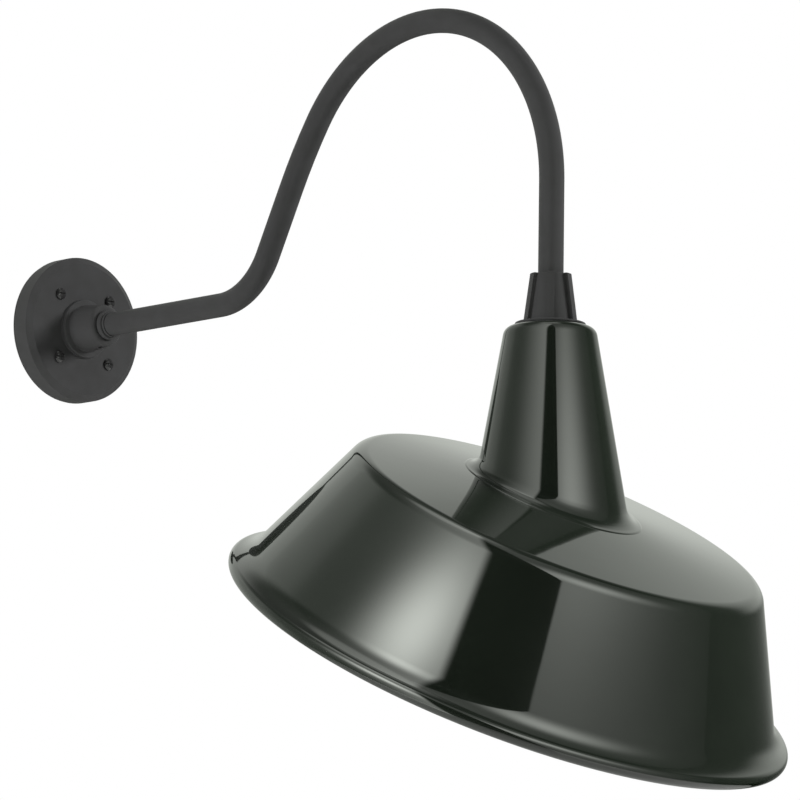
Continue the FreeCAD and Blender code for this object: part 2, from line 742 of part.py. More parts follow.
def holder_screws():
    """Two long screws that hang the porcelain from the bracket."""
    head_seat = holder_bottom + small_head_height
    shank = bracket_top - head_seat + holder_screw_thread - bracket_thickness - sheet
    screws = []
    for place in holder_screw_places():
        screw = slotted_screw(holder_screw_radius, shank, small_head_radius - 0.2, small_head_height - 0.2,
                              small_slot_width, small_slot_depth)
        screw.rotate(ORIGIN, X_AXIS, 180)
        screw.translate(place + V(0, 0, head_seat))
        screws.append(screw)
    return Part.Compound(screws)


def holder_shell():
    """Thin screw shell of the lampholder, with its closed end held against the porcelain."""
    inner = shell_radius - shell_wall
    return turned([
        (contact_radius + 2, cavity_top), (shell_radius, cavity_top, 0.6), (shell_radius, cavity_top - shell_length),
        (inner, cavity_top - shell_length), (inner, cavity_top - shell_wall, 0.1),
        (contact_radius + 2, cavity_top - shell_wall)], stem_axis)


def holder_contact():
    """Sprung brass strip in the lampholder, whose tongue all but meets the lamp's end contact."""
    low = lamp_top() + contact_gap
    wall = contact_strip_thickness
    reach = contact_radius
    strip = outline([(-reach, cavity_top), (reach, cavity_top), (reach, cavity_top - wall), (0, low, 1.5),
                     (-reach * 0.7, low + wall * 1.3), (-reach * 0.7, low + wall * 2.3), (0, low + wall * 1.1, 1.0),
                     (reach - 2 * wall, cavity_top - wall), (-reach, cavity_top - wall)])
    solid = strip.extrude(V(0, contact_strip_width, 0))
    solid.translate(stem_axis - V(0, contact_strip_width / 2, 0))
    return solid


def terminal_places():
    return [stem_axis + V(0, side * terminal_offset, well_floor) for side in (-1, 1)]


def terminal_screws():
    """Two binding screws in the porcelain's upper hollow, each under the end of a lead."""
    return Part.Compound([turned([(0, 0), (terminal_radius, 0), (terminal_radius, terminal_height, 0.5),
                                  (0, terminal_height)], place) for place in terminal_places()])


def holder_lead(side):
    """A lead from just under the pipe's leads down to its terminal screw; side +1 is nearer the wall."""
    start_up = fitter_top - pipe_in_fitter + lead_gap - 0.3
    end_up = well_floor + terminal_height
    shift = terminal_offset - lead_gap
    bend = math.degrees(math.acos(1 - shift / 2 / lead_sway_radius))
    sway = 2 * lead_sway_radius * math.sin(math.radians(bend))
    tail = 2.0
    route = Route(stem_out - side * lead_gap, start_up, -90)
    route.run(start_up - end_up - sway - tail)
    route.turn(lead_sway_radius, -side * bend)
    route.turn(lead_sway_radius, side * bend)
    route.run(tail)
    return route.tube(lead_radius)


# ---------------------------------------------------------------- lamp
def cap_radius():
    return shell_radius - shell_wall - lamp_clearance


def lamp_top():
    """Height of the lamp's end contact when the lamp is screwed home."""
    return cavity_top - 3.0


def cap_top():
    return lamp_top() - contact_height - insulator_height


def cap_bottom():
    return cap_top() - cap_length


def lamp_contact():
    """End contact of the lamp: round, so that it looks the same however far the lamp has turned."""
    top = lamp_top()
    return turned([(0, top - contact_height), (contact_radius, top - contact_height), (contact_radius * 0.8, top, 1.2),
                   (0, top)], stem_axis)


def lamp_insulator():
    """Black glass ring between the end contact and the screw cap."""
    top = lamp_top() - contact_height
    return turned([(0, cap_top()), (cap_radius() - cap_thread_height - 0.6, cap_top()),
                   (contact_radius + 0.6, top, 1.0), (0, top)], stem_axis)


def lamp_cap():
    """Screw cap of the lamp, with its rolled thread as rounded rings."""
    crest = cap_radius()
    root = crest - cap_thread_height
    pitch = (cap_length - 5.0) / cap_thread_count
    corners = [(0, cap_top()), (root - 0.6, cap_top(), 0.5), (root, cap_top() - 1.2)]
    for i in range(cap_thread_count):
        start = cap_top() - 1.2 - i * pitch
        corners += [(root, start - pitch * 0.25, 0.5), (crest, start - pitch * 0.6, 0.7), (root, start - pitch * 0.95, 0.5)]
    corners += [(root, cap_bottom() + 1.2), (crest - 0.1, cap_bottom()), (root - cap_wall, cap_bottom()),
                (root - cap_wall, cap_top() - cap_wall), (0, cap_top() - cap_wall)]
    return turned(corners, stem_axis)


def glass_chain():
    """Outer side of the glass from its neck inside the cap down to its lowest point."""
    top = cap_bottom() + glass_lap
    bottom = cap_bottom() - glass_length
    inside = cap_radius() - cap_thread_height - cap_wall - 0.15
    middle = bottom + glass_radius
    return [(inside, top), (inside, cap_bottom() - 1.0), (glass_neck_outer, cap_bottom() - glass_neck_length, 30.0),
            (glass_radius + 1.5, middle + 20, 26.0), (glass_radius + 1.5, bottom, glass_radius - 1), (0, bottom)]


def lamp_glass():
    """Pear-shaped glass envelope, hollow."""
    outer = glass_chain()
    inner = side_step(outer, glass_wall)
    inner[-1] = (0, inner[-1][1])
    return turned(outer + inner[::-1], stem_axis)


def lamp_stem():
    """Glass stem inside the lamp, on its flared foot."""
    top = cap_bottom() + glass_lap
    inside = cap_radius() - cap_thread_height - cap_wall - 0.15 - glass_wall - 0.1
    low = cap_bottom() - stem_length
    return turned([(0, top), (inside, top), (inside, top - 1.5), (stem_radius, top - 16, 6.0),
                   (stem_radius, low, 1.0), (0, low)], stem_axis)


def support_lean():
    """Angle in degrees between each support wire and the stem's axis."""
    return math.degrees(math.atan2(support_spread - stem_radius * 0.55, filament_height))


def support_route(side):
    """Support wire from the stem's end out and down to the filament's end."""
    low = cap_bottom() - stem_length
    route = Route(stem_out + side * stem_radius * 0.55, low, -90)
    spread = support_lean()
    route.run(1.0)
    route.turn(4.0, side * spread)
    route.run(filament_height / math.cos(math.radians(spread)) - 4.0)
    return route


def lamp_supports():
    """Two support wires that carry the filament."""
    return Part.Compound([support_route(side).tube(support_radius) for side in (-1, 1)])


def lamp_filament():
    """Filament strung between the ends of the two support wires."""
    ends = [support_route(side).point() for side in (-1, 1)]
    wire_end = min(e.z for e in ends) - support_radius * math.sin(math.radians(support_lean()))
    level = wire_end - filament_gap - filament_radius
    width = (ends[0] - ends[1]).Length + 2 * filament_radius
    rod = Part.makeCylinder(filament_radius, width, V(0, ends[1].y - filament_radius, level), Y_AXIS)
    return rod


PIECES = {
    "wall_plate": wall_plate,
    "wall_gasket": wall_gasket,
    "wall_screws": wall_screws,
    "hub_set_screw": hub_set_screw,
    "lock_ring": lock_ring,
    "arm": arm,
    "supply_lead_black": lambda: supply_lead(1),
    "supply_lead_white": lambda: supply_lead(-1),
    "ground_lead": ground_lead,
    "ground_screw": ground_screw,
    "wire_connectors": wire_connectors,
    "fitter": fitter,
    "fitter_set_screws": fitter_set_screws,
    "flange_seal": flange_seal,
    "shade_neck": shade_neck,
    "shade_bowl": shade_bowl,
    "socket_bracket": socket_bracket,
    "bracket_screws": bracket_screws,
    "holder_body": holder_body,
    "holder_screws": holder_screws,
    "holder_shell": holder_shell,
    "holder_contact": holder_contact,
    "terminal_screws": terminal_screws,
    "holder_lead_black": lambda: holder_lead(1),
    "holder_lead_white": lambda: holder_lead(-1),
    "lamp_contact": lamp_contact,
    "lamp_insulator": lamp_insulator,
    "lamp_cap": lamp_cap,
    "lamp_glass": lamp_glass,
    "lamp_stem": lamp_stem,
    "lamp_supports": lamp_supports,
    "lamp_filament": lamp_filament,
}

os.makedirs("parts", exist_ok=True)
for name, make in PIECES.items():
    shape = make()
    print("%-20s solids %d valid %s volume %.1f" % (name, len(shape.Solids), shape.isValid(), shape.Volume))
    shape.exportStep("parts/%s.step" % name)
print("stem_out %.2f fitter_top %.2f neck_top %.2f" % (stem_out, fitter_top, neck_top))
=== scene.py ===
import bpy
import bmesh
import json
import math
from mathutils import Matrix, Vector


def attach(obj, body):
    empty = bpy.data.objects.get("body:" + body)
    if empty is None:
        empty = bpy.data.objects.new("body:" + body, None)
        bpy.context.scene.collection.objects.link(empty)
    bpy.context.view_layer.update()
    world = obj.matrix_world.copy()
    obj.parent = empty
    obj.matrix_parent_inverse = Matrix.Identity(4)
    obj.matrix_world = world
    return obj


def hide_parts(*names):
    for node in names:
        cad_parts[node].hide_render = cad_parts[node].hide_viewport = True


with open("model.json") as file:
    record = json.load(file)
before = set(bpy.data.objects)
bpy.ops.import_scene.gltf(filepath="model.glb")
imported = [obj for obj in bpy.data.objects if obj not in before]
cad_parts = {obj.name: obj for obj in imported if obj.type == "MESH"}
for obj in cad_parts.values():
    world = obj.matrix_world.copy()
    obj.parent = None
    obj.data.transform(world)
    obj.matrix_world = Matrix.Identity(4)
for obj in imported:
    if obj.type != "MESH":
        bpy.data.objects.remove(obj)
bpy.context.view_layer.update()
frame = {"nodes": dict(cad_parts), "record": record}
scene = bpy.context.scene
nodes = frame["nodes"]
MM = 0.001

# ---------------------------------------------------------------- camera
AZIMUTH, PITCH, ROLL = math.radians(-43.29), math.radians(-9.03), math.radians(0.84)
DISTANCE = 4.7703                # metres to the wall plate's centre, measured along the view
FRAME_PX, FOCAL_PX = 800, 5184.45
ORIGIN_PX = (69.10, 332.06)      # where the wall plate's centre lies in the picture
SENSOR = 36.0


def add_camera():
    """The photograph's camera, placed so that the wall plate's centre falls on its pixel."""
    data = bpy.data.cameras.new("camera")
    data.sensor_width = SENSOR
    data.lens = FOCAL_PX * SENSOR / FRAME_PX
    data.clip_start, data.clip_end = 0.1, 60
    level = math.cos(PITCH)
    forward = Vector((-math.sin(AZIMUTH) * level, math.cos(AZIMUTH) * level, -math.sin(PITCH)))
    right = forward.cross(Vector((0, 0, 1))).normalized()
    up = right.cross(forward)
    rolled_right = math.cos(ROLL) * right + math.sin(ROLL) * up
    rolled_up = -math.sin(ROLL) * right + math.cos(ROLL) * up
    across = (ORIGIN_PX[0] - FRAME_PX / 2) / FOCAL_PX
    above = (FRAME_PX / 2 - ORIGIN_PX[1]) / FOCAL_PX
    place = -DISTANCE * (forward + rolled_right * across + rolled_up * above)
    turn = Matrix((rolled_right, rolled_up, -forward)).transposed().to_4x4()
    obj = bpy.data.objects.new("camera", data)
    obj.matrix_world = Matrix.Translation(place) @ turn
    scene.collection.objects.link(obj)
    scene.camera = obj


add_camera()


# ---------------------------------------------------------------- materials
class Shader:
    """A material with its node tree, and short calls that add nodes to it."""

    SOCKETS = {"Color": "Base Color", "Specular": "Specular IOR Level",
               "Transmission": "Transmission Weight"}

    def __init__(self, name):
        self.material = bpy.data.materials.new(name)
        self.material.use_nodes = True
        self.tree = self.material.node_tree
        self.surface = self.tree.nodes["Principled BSDF"]
        self.coords = self.tree.nodes.new("ShaderNodeTexCoord")

    def fill_in(self, socket, value):
        if isinstance(value, bpy.types.NodeSocket):
            self.tree.links.new(value, socket)
        else:
            socket.default_value = value

    def node(self, kind, inputs):
        made = self.tree.nodes.new(kind)
        for key, value in inputs.items():
            self.fill_in(made.inputs[key], value)
        return made

    def noise(self, scale, detail=3.0):
        inputs = {"Vector": self.coords.outputs["Object"], "Scale": scale, "Detail": detail,
                  "Roughness": 0.55}
        return self.node("ShaderNodeTexNoise", inputs).outputs["Fac"]

    def blend(self, value, low, high):
        """A colour that drifts between two with a noise."""
        ramp = self.node("ShaderNodeValToRGB", {"Fac": value})
        for point, place, colour in zip(ramp.color_ramp.elements, (0.3, 0.7), (low, high)):
            point.position = place
            point.color = (*colour, 1)
        return ramp.outputs["Color"]

    def spread(self, value, low, high):
        """A number that drifts between two with a noise."""
        inputs = {"Value": value, "From Min": 0.25, "From Max": 0.75, "To Min": low, "To Max": high}
        return self.node("ShaderNodeMapRange", inputs).outputs[0]

    def bump(self, height, strength, distance, below=None):
        """A normal raised by a noise, over another bump where one is given."""
        inputs = {"Height": height, "Strength": strength, "Distance": distance}
        if below is not None:
            inputs["Normal"] = below
        return self.node("ShaderNodeBump", inputs).outputs[0]

    def finish(self, **inputs):
        for key, value in inputs.items():
            self.fill_in(self.surface.inputs[self.SOCKETS.get(key, key)], value)
        return self.material


def powder_coat(name, tone=0.038, rough=0.55):
    """Matte coat with a fine grain over a coarser one."""
    s = Shader(name)
    grain = s.noise(1500, 2.0)
    mottle = s.noise(60, 4.0)
    colour = s.blend(mottle, (tone * 0.92,) * 3, (tone * 1.08, tone * 1.08, tone * 1.1))
    bump = s.bump(s.noise(500), 0.35, 0.00012, s.bump(grain, 0.3, 0.00005))
    return s.finish(Color=colour, Roughness=s.spread(mottle, rough - 0.04, rough + 0.05), Normal=bump,
                    Specular=0.15)


def enamel(name, colour, rough=0.045, drift=0.07):
    """Gloss with a faint waviness; drift is how far the colour wanders, as a share."""
    s = Shader(name)
    tint = s.blend(s.noise(25), [c * (1 - drift) for c in colour], [c * (1 + drift) for c in colour])
    bump = s.bump(s.noise(14, 2.0), 0.05, 0.002)
    return s.finish(Color=tint, Roughness=s.spread(s.noise(40), rough * 0.8, rough * 1.2), Normal=bump,
                    Specular=0.6)


def plain(name, colour, rough, metal=0.0, scale=300):
    """Colour and gloss that wander a little, for the small pieces and the floor."""
    s = Shader(name)
    tint = s.blend(s.noise(scale * 0.2, 4.0), [c * 0.9 for c in colour], [min(1, c * 1.08) for c in colour])
    return s.finish(Color=tint, Roughness=s.spread(s.noise(scale * 0.4), rough * 0.85, min(1, rough * 1.15)),
                    Metallic=metal, Normal=s.bump(s.noise(scale), 0.3, 0.00006))


def clear_glass(name):
    """Clear glass, hardly tinted, for the lamp and its stem."""
    s = Shader(name)
    return s.finish(Color=(0.97, 0.97, 0.96, 1), Roughness=s.spread(s.noise(30), 0.0, 0.03), IOR=1.45,
                    Transmission=1.0)


MATERIALS = {
    "matte_black": powder_coat("matte_black"),
    "gloss_black_enamel": enamel("gloss_black_enamel", (0.012, 0.0155, 0.0115)),
    "white_enamel": enamel("white_enamel", (0.8, 0.8, 0.78), 0.08, 0.01),
    "porcelain": enamel("porcelain", (0.8, 0.79, 0.75), 0.15, 0.02),
    "black_glass": enamel("black_glass", (0.02, 0.02, 0.02), 0.1),
    "black_screw": plain("black_screw", (0.02, 0.02, 0.02), 0.2),
    "gasket_rubber": plain("gasket_rubber", (0.025, 0.025, 0.025), 0.7),
    "lead_black": plain("lead_black", (0.02, 0.02, 0.02), 0.45),
    "lead_white": plain("lead_white", (0.8, 0.8, 0.77), 0.45),
    "lead_green": plain("lead_green", (0.03, 0.28, 0.07), 0.45),
    "ground_green": plain("ground_green", (0.04, 0.3, 0.09), 0.35),
    "connector_plastic": plain("connector_plastic", (0.8, 0.32, 0.05), 0.5),
    "zinc_steel": plain("zinc_steel", (0.6, 0.6, 0.58), 0.35, 1.0),
    "brass": plain("brass", (0.72, 0.52, 0.22), 0.3, 1.0),
    "lamp_cap_metal": plain("lamp_cap_metal", (0.78, 0.77, 0.74), 0.28, 1.0),
    "support_wire": plain("support_wire", (0.5, 0.5, 0.48), 0.3, 1.0),
    "lamp_glass": clear_glass("lamp_glass"),
    "stem_glass": clear_glass("stem_glass"),
}

for part in frame["record"]["subparts"]:
    node = nodes[part["node"]]
    node.data.materials.clear()
    node.data.materials.append(MATERIALS[part["material_slot"]])


# ---------------------------------------------------------------- mesh helpers
def rounded(corners, step=7.0):
    """Points of a chain of (x, z) or (x, z, radius) corners, with each radius worked in as an arc."""
    points = []
    for i, corner in enumerate(corners):
        here = Vector(corner[:2])
        radius = corner[2] if len(corner) > 2 else 0
        if not radius or i in (0, len(corners) - 1):
            points.append(here)
            continue
        before = (Vector(corners[i - 1][:2]) - here).normalized()
        after = (Vector(corners[i + 1][:2]) - here).normalized()
        half = before.angle(after) / 2
        reach = radius / math.tan(half)
        centre = here + (before + after).normalized() * radius / math.sin(half)
        start, end = here + before * reach - centre, here + after * reach - centre
        sweep = start.angle_signed(end)
        count = max(2, int(math.degrees(abs(sweep)) / step))
        for k in range(count + 1):
            points.append(centre + Matrix.Rotation(-sweep * k / count, 2) @ start)
    return points


def offset(corners, distance):
    """The chain moved to its right, rounding radii kept true."""
    points = [Vector(c[:2]) for c in corners]
    heads = [(b - a).normalized() for a, b in zip(points, points[1:])]
    rights = [Vector((h.y, -h.x)) for h in heads]
    moved = [(points[0] + rights[0] * distance).to_tuple()]
    for i in range(1, len(points) - 1):
        middle = (rights[i - 1] + rights[i]).normalized()
        left = heads[i - 1].x * heads[i].y - heads[i - 1].y * heads[i].x > 0
        place = points[i] + middle * (distance / middle.dot(rights[i]))
        moved.append((place.x, place.y, corners[i][2] + (distance if left else -distance)))
    moved.append((points[-1] + rights[-1] * distance).to_tuple())
    return moved


def even(points, count):
    """The same polyline as so many points at even distances along it."""
    lengths = [0.0]
    for a, b in zip(points, points[1:]):
        lengths.append(lengths[-1] + (b - a).length)
    result, i = [], 0
    for k in range(count):
        target = lengths[-1] * k / (count - 1)
        while i < len(points) - 2 and lengths[i + 1] < target:
            i += 1
        share = (target - lengths[i]) / max(1e-9, lengths[i + 1] - lengths[i])
        result.append(points[i].lerp(points[i + 1], min(1, max(0, share))))
    return result


def mesh_object(name, body, vertices, faces, material, smooth_angle):
    """A closed mesh that rides on a body, smooth except at edges sharper than the angle in degrees."""
    mesh = bpy.data.meshes.new(name)
    mesh.from_pydata([tuple(v) for v in vertices], [], faces)
    mesh.validate()
    work = bmesh.new()
    work.from_mesh(mesh)
    bmesh.ops.remove_doubles(work, verts=work.verts, dist=1e-6)
    bmesh.ops.recalc_face_normals(work, faces=work.faces)
    limit = math.radians(smooth_angle)
    for face in work.faces:
        face.smooth = True
    for edge in work.edges:
        edge.smooth = len(edge.link_faces) == 2 and edge.calc_face_angle(0) < limit
    work.to_mesh(mesh)
    work.free()
    mesh.materials.append(material)
    obj = bpy.data.objects.new(name, mesh)
    scene.collection.objects.link(obj)
    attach(obj, body)
    return obj


def ring_faces(rows, count):
    """Quads between successive rings of count vertices each, and from the last ring to the first."""
    faces = []
    for i in range(rows):
        a, b = i * count, (i + 1) % rows * count
        for k in range(count):
            faces.append((a + k, a + (k + 1) % count, b + (k + 1) % count, b + k))
    return faces


def lathe(profile, place, segments):
    """Vertices and faces of a closed profile of (radius, height) points in mm, turned about Z."""
    vertices = []
    for radius, height in profile:
        for k in range(segments):
            angle = 2 * math.pi * k / segments
            local = Vector((radius * math.cos(angle) * MM, radius * math.sin(angle) * MM, height * MM))
            vertices.append(place @ local)
    return vertices, ring_faces(len(profile), segments)


# ---------------------------------------------------------------- shade, in mm
STEM_OUT, NECK_TOP = 626.17, -67.84            # the shade's vertical axis and its flat top
SHEET = 1.3
NECK_RADIUS, NECK_SLOPE, NECK_ROUND, NECK_HOLE = 38.0, 0.175, 8.5, 12.0
NECK_LENGTH = 131.9                            # from the flat top to the bowl's top, on the axis
INSET = 46.1                                   # from the axis to the centre of the bowl's rim plane
NECK_SEGMENTS, NECK_POINTS_OUTSIDE, NECK_POINTS_INSIDE = 192, 150, 90
FOOT_WIDTH, FOOT_LIFT, FOOT_ROUND = 11.0, 0.7, 40.0
FOOT_FLAT = 1.5                                # what the flare leaves of the foot's width
FOOT_EDGE, FOOT_STEP, FOOT_SINK = 0.8, 0.2, 0.05
FOOT_PROBE = 8.0                               # how far out from the neck the bowl's slope is taken
INNER_STEP, INNER_LIFT = 0.5, 0.02             # the inside's lower end, inwards and above the bowl

TILT, TOP_SLOPE, TOP_HOLE = math.radians(28.58), 0.124, 40.0
SHOULDER_RADIUS, SHOULDER_ROUND, SHOULDER = 177.3, 16.0, 128.24
RIM_RADIUS, RIM_LOW = 246.4, -2.85             # outermost and lowest reach of the rolled edge
VALLEY_ROUND, LIP_FALL, LIP_WIDTH, BEAD = 28.0, math.radians(22), 11.65, 6.0
CURL_FIRST, CURL_LAST, CURL_JOIN = 4, 284, 20  # degrees round the rolled edge, from its crown
BOWL_SEGMENTS = 288
WHITE_REACH = RIM_RADIUS - 2 * BEAD - 0.3      # the white inside ends just short of the rolled edge
APEX = SHOULDER + TOP_SLOPE * SHOULDER_RADIUS


def rim_height():
    """Height of the rim plane's centre that puts the bowl's top one neck length down the stem's axis."""
    meet = 0.0
    for _ in range(40):
        meet = (INSET - (APEX - TOP_SLOPE * abs(meet)) * math.sin(TILT)) / math.cos(TILT)
    above = (APEX - TOP_SLOPE * abs(meet)) * math.cos(TILT)
    return NECK_TOP - NECK_LENGTH - above + meet * math.sin(TILT)


BOWL = Matrix.Translation(Vector((0, -STEM_OUT + INSET, rim_height())) * MM) @ Matrix.Rotation(TILT, 4, "X")
STEM = Matrix.Translation(Vector((0, -STEM_OUT, 0)) * MM)


def bowl_profile():
    """Closed profile of the bowl's sheet, from the hole in its top to the rolled edge and back inside."""
    centre = Vector((RIM_RADIUS - BEAD, RIM_LOW + BEAD))
    crown = centre + Vector((math.sin(LIP_FALL), math.cos(LIP_FALL))) * BEAD
    valley = crown + Vector((-math.cos(LIP_FALL), math.sin(LIP_FALL))) * LIP_WIDTH
    chain = [(TOP_HOLE, APEX - TOP_SLOPE * TOP_HOLE), (SHOULDER_RADIUS, SHOULDER, SHOULDER_ROUND),
             (valley.x, valley.y, VALLEY_ROUND), (crown.x, crown.y)]
    outer = rounded(chain, 4)
    inner = rounded(offset(chain, SHEET), 4)
    first = math.atan2(crown.y - centre.y, crown.x - centre.x)

    def curl(radius, angles):
        turns = [first - math.radians(a) for a in angles]
        return [centre + Vector((math.cos(t), math.sin(t))) * radius for t in turns]

    outside = curl(BEAD, range(CURL_FIRST, CURL_LAST + 1, 10))
    inside = curl(BEAD - SHEET, range(CURL_LAST, CURL_JOIN, -14))
    return outer + outside + inside + inner[::-1]


def top_surface(x, y):
    """Height in mm of the bowl's outer top over a point, x and y counted from the stem's axis."""
    back = BOWL.inverted()

    def miss(height):
        local = back @ (Vector((x, y - STEM_OUT, height)) * MM) / MM
        return local.z - (APEX - TOP_SLOPE * math.hypot(local.x, local.y))

    z = NECK_TOP - NECK_LENGTH
    step = 0.5
    for _ in range(8):
        here = miss(z)
        z -= here / ((miss(z + step) - here) / step)
    return z


def neck_column(way):
    """Outside and inside of the neck's sheet in the half plane towards way, as (distance, height) in mm."""
    def top(distance):
        return top_surface(*(way * distance))

    drop = NECK_LENGTH
    for _ in range(12):
        drop = NECK_TOP - top(NECK_RADIUS + NECK_SLOPE * drop)
    reach = NECK_RADIUS + NECK_SLOPE * drop
    slope = (top(reach + FOOT_PROBE) - top(reach)) / FOOT_PROBE
    steepness = math.sqrt(1 + slope * slope)
    corner_drop = drop - FOOT_LIFT * steepness
    bend = math.pi / 2 - math.atan(NECK_SLOPE) + math.atan(slope)
    flare = min(FOOT_ROUND, (FOOT_WIDTH * steepness - FOOT_FLAT) / math.tan(bend / 2))
    corner = (NECK_RADIUS + NECK_SLOPE * corner_drop, NECK_TOP - corner_drop, flare)
    foot = (corner[0] + FOOT_WIDTH, corner[1] + slope * FOOT_WIDTH, FOOT_EDGE)
    ground_out = corner[0] + FOOT_WIDTH + FOOT_STEP
    ground = (ground_out, top(ground_out) - FOOT_SINK)
    outer = rounded([(NECK_HOLE, NECK_TOP), (NECK_RADIUS, NECK_TOP, NECK_ROUND), corner, foot, ground])

    low_out = reach - SHEET - INNER_STEP
    shoulder_out = NECK_RADIUS - SHEET * math.sqrt(1 + NECK_SLOPE ** 2) + NECK_SLOPE * SHEET
    inner = rounded([(low_out, top(low_out) + INNER_LIFT),
                     (shoulder_out, NECK_TOP - SHEET, NECK_ROUND - SHEET), (NECK_HOLE, NECK_TOP - SHEET)])
    return even(outer, NECK_POINTS_OUTSIDE) + even(inner, NECK_POINTS_INSIDE)


def neck_mesh():
    """The neck: a cone with a flat, rounded top, and a flared foot that follows the bowl's tilted top."""
    columns = []
    for k in range(NECK_SEGMENTS):
        angle = 2 * math.pi * k / NECK_SEGMENTS
        way = Vector((math.cos(angle), math.sin(angle)))
        column = []
        for distance, height in neck_column(way):
            column.append(STEM @ Vector((distance * way.x * MM, distance * way.y * MM, height * MM)))
        columns.append(column)
    count = len(columns[0])
    vertices = [column[i] for i in range(count) for column in columns]
    return vertices, ring_faces(count, NECK_SEGMENTS)


def whiten_inside(piece):
    """Gives the bowl's inner faces the white enamel, as its second material."""
    piece.data.materials.append(MATERIALS["white_enamel"])
    back = BOWL.inverted()
    for face in piece.data.polygons:
        middle = back @ face.center / MM
        facing = back.to_3x3() @ face.normal
        across = math.hypot(middle.x, middle.y)
        if across < SHOULDER_RADIUS - SHOULDER_ROUND:
            inward = facing.z < 0
        else:
            inward = facing.x * middle.x + facing.y * middle.y < 0
        if inward and across < WHITE_REACH:
            face.material_index = 1


shade_black = MATERIALS["gloss_black_enamel"]
bowl_vertices, bowl_faces = lathe(bowl_profile(), BOWL, BOWL_SEGMENTS)
bowl = mesh_object("shade_bowl_shell", "shade", bowl_vertices, bowl_faces, shade_black, smooth_angle=50)
whiten_inside(bowl)
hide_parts("shade_bowl")

neck_vertices, neck_faces = neck_mesh()
neck = mesh_object("shade_neck_shell", "shade", neck_vertices, neck_faces, shade_black, smooth_angle=60)
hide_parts("shade_neck")

# ---------------------------------------------------------------- arm, in mm and degrees
PIPE, PIPE_WALL, PIPE_SEGMENTS = 10.65, 2.8, 72
PIPE_START, PIPE_END = 19.5, 25.0
WALL_RUN, RISE_RADIUS, RISE_ANGLE, RISE_RUN = 210.8, 69.5, 62.5, 63.0
EASE_RADIUS, EASE_ANGLE, ARCH_RADIUS, ARCH_ANGLE, DOWN_RUN = 497.0, -7.4, 160.1, -145.1, 80.3


def arm_path():
    """(out, up, heading) stations along the pipe's centreline, in mm and radians."""
    out, up, heading = PIPE_START, 0.0, 0.0
    stations = [(out, up, heading)]

    def run(length):
        nonlocal out, up
        out += length * math.cos(heading)
        up += length * math.sin(heading)
        stations.append((out, up, heading))

    def turn(radius, angle):
        nonlocal out, up, heading
        side = 1 if angle > 0 else -1
        centre = (out - side * radius * math.sin(heading), up + side * radius * math.cos(heading))
        first = heading
        count = max(4, int(abs(angle) / 2.0))
        for k in range(1, count + 1):
            heading = first + math.radians(angle) * k / count
            out = centre[0] + side * radius * math.sin(heading)
            up = centre[1] - side * radius * math.cos(heading)
            stations.append((out, up, heading))

    run(WALL_RUN - PIPE_START)
    turn(RISE_RADIUS, RISE_ANGLE)
    run(RISE_RUN)
    turn(EASE_RADIUS, EASE_ANGLE)
    turn(ARCH_RADIUS, ARCH_ANGLE)
    run(DOWN_RUN + PIPE_END)
    return stations


def pipe_mesh():
    """The pipe's outside along the path, and its bore on the way back."""
    stations = arm_path()
    vertices = []
    rings = [(s, PIPE) for s in stations] + [(s, PIPE - PIPE_WALL) for s in reversed(stations)]
    for (out, up, heading), radius in rings:
        for k in range(PIPE_SEGMENTS):
            angle = 2 * math.pi * k / PIPE_SEGMENTS
            side, lift = radius * math.cos(angle), radius * math.sin(angle)
            away = out - lift * math.sin(heading)
            vertices.append(Vector((side, -away, up + lift * math.cos(heading))) * MM)
    return vertices, ring_faces(len(rings), PIPE_SEGMENTS)


pipe_vertices, pipe_faces = pipe_mesh()
matte_black = MATERIALS["matte_black"]
pipe = mesh_object("gooseneck_pipe", "arm_body", pipe_vertices, pipe_faces, matte_black, smooth_angle=40)
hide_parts("arm")


# ---------------------------------------------------------------- light, in metres
SHADE_MIDDLE = Vector((0, -0.58, -0.27))
TINT = (0.96, 1.0, 0.93)                        # colour of what the gloss reflects

# (degrees, level) stops of the world's profiles; azimuth as in direction()
AROUND = [(-180, 0.85), (-155, 0.78), (-135, 0.5), (-95, 0.4), (-62, 0.22), (-32, 0.22),
          (0, 0.4), (45, 0.2), (90, 0.21), (115, 0.36), (135, 0.66), (180, 0.86)]
UPWARDS = [(-90, 0.4), (-20, 0.6), (0, 1.0), (42, 1.0), (60, 0.25), (74, 0.25), (80, 0.1), (90, 0.1)]
CEILING = [(-90, 0.0), (72, 0.0), (82, 1.2), (90, 1.2)]
BEHIND_AROUND = [(-180, 0.15), (-160, 0.0), (75, 0.0), (105, 0.65), (135, 0.35), (180, 0.15)]
BEHIND_UPWARDS = [(-90, 0.0), (4, 0.0), (22, 1.0), (38, 1.0), (50, 0.3), (62, 0.1), (90, 0.1)]

FLOOR = -1.5                                    # height
FLOOR_SIDE, FLOOR_FRONT, FLOOR_BACK = 3, -4, 2  # along X both ways, and along Y


def direction(azimuth, elevation):
    """Unit vector to a place in the studio; azimuth 0 is straight out from the wall and 90 is along +X."""
    a, e = math.radians(azimuth), math.radians(elevation)
    return Vector((math.sin(a) * math.cos(e), -math.cos(a) * math.cos(e), math.sin(e)))


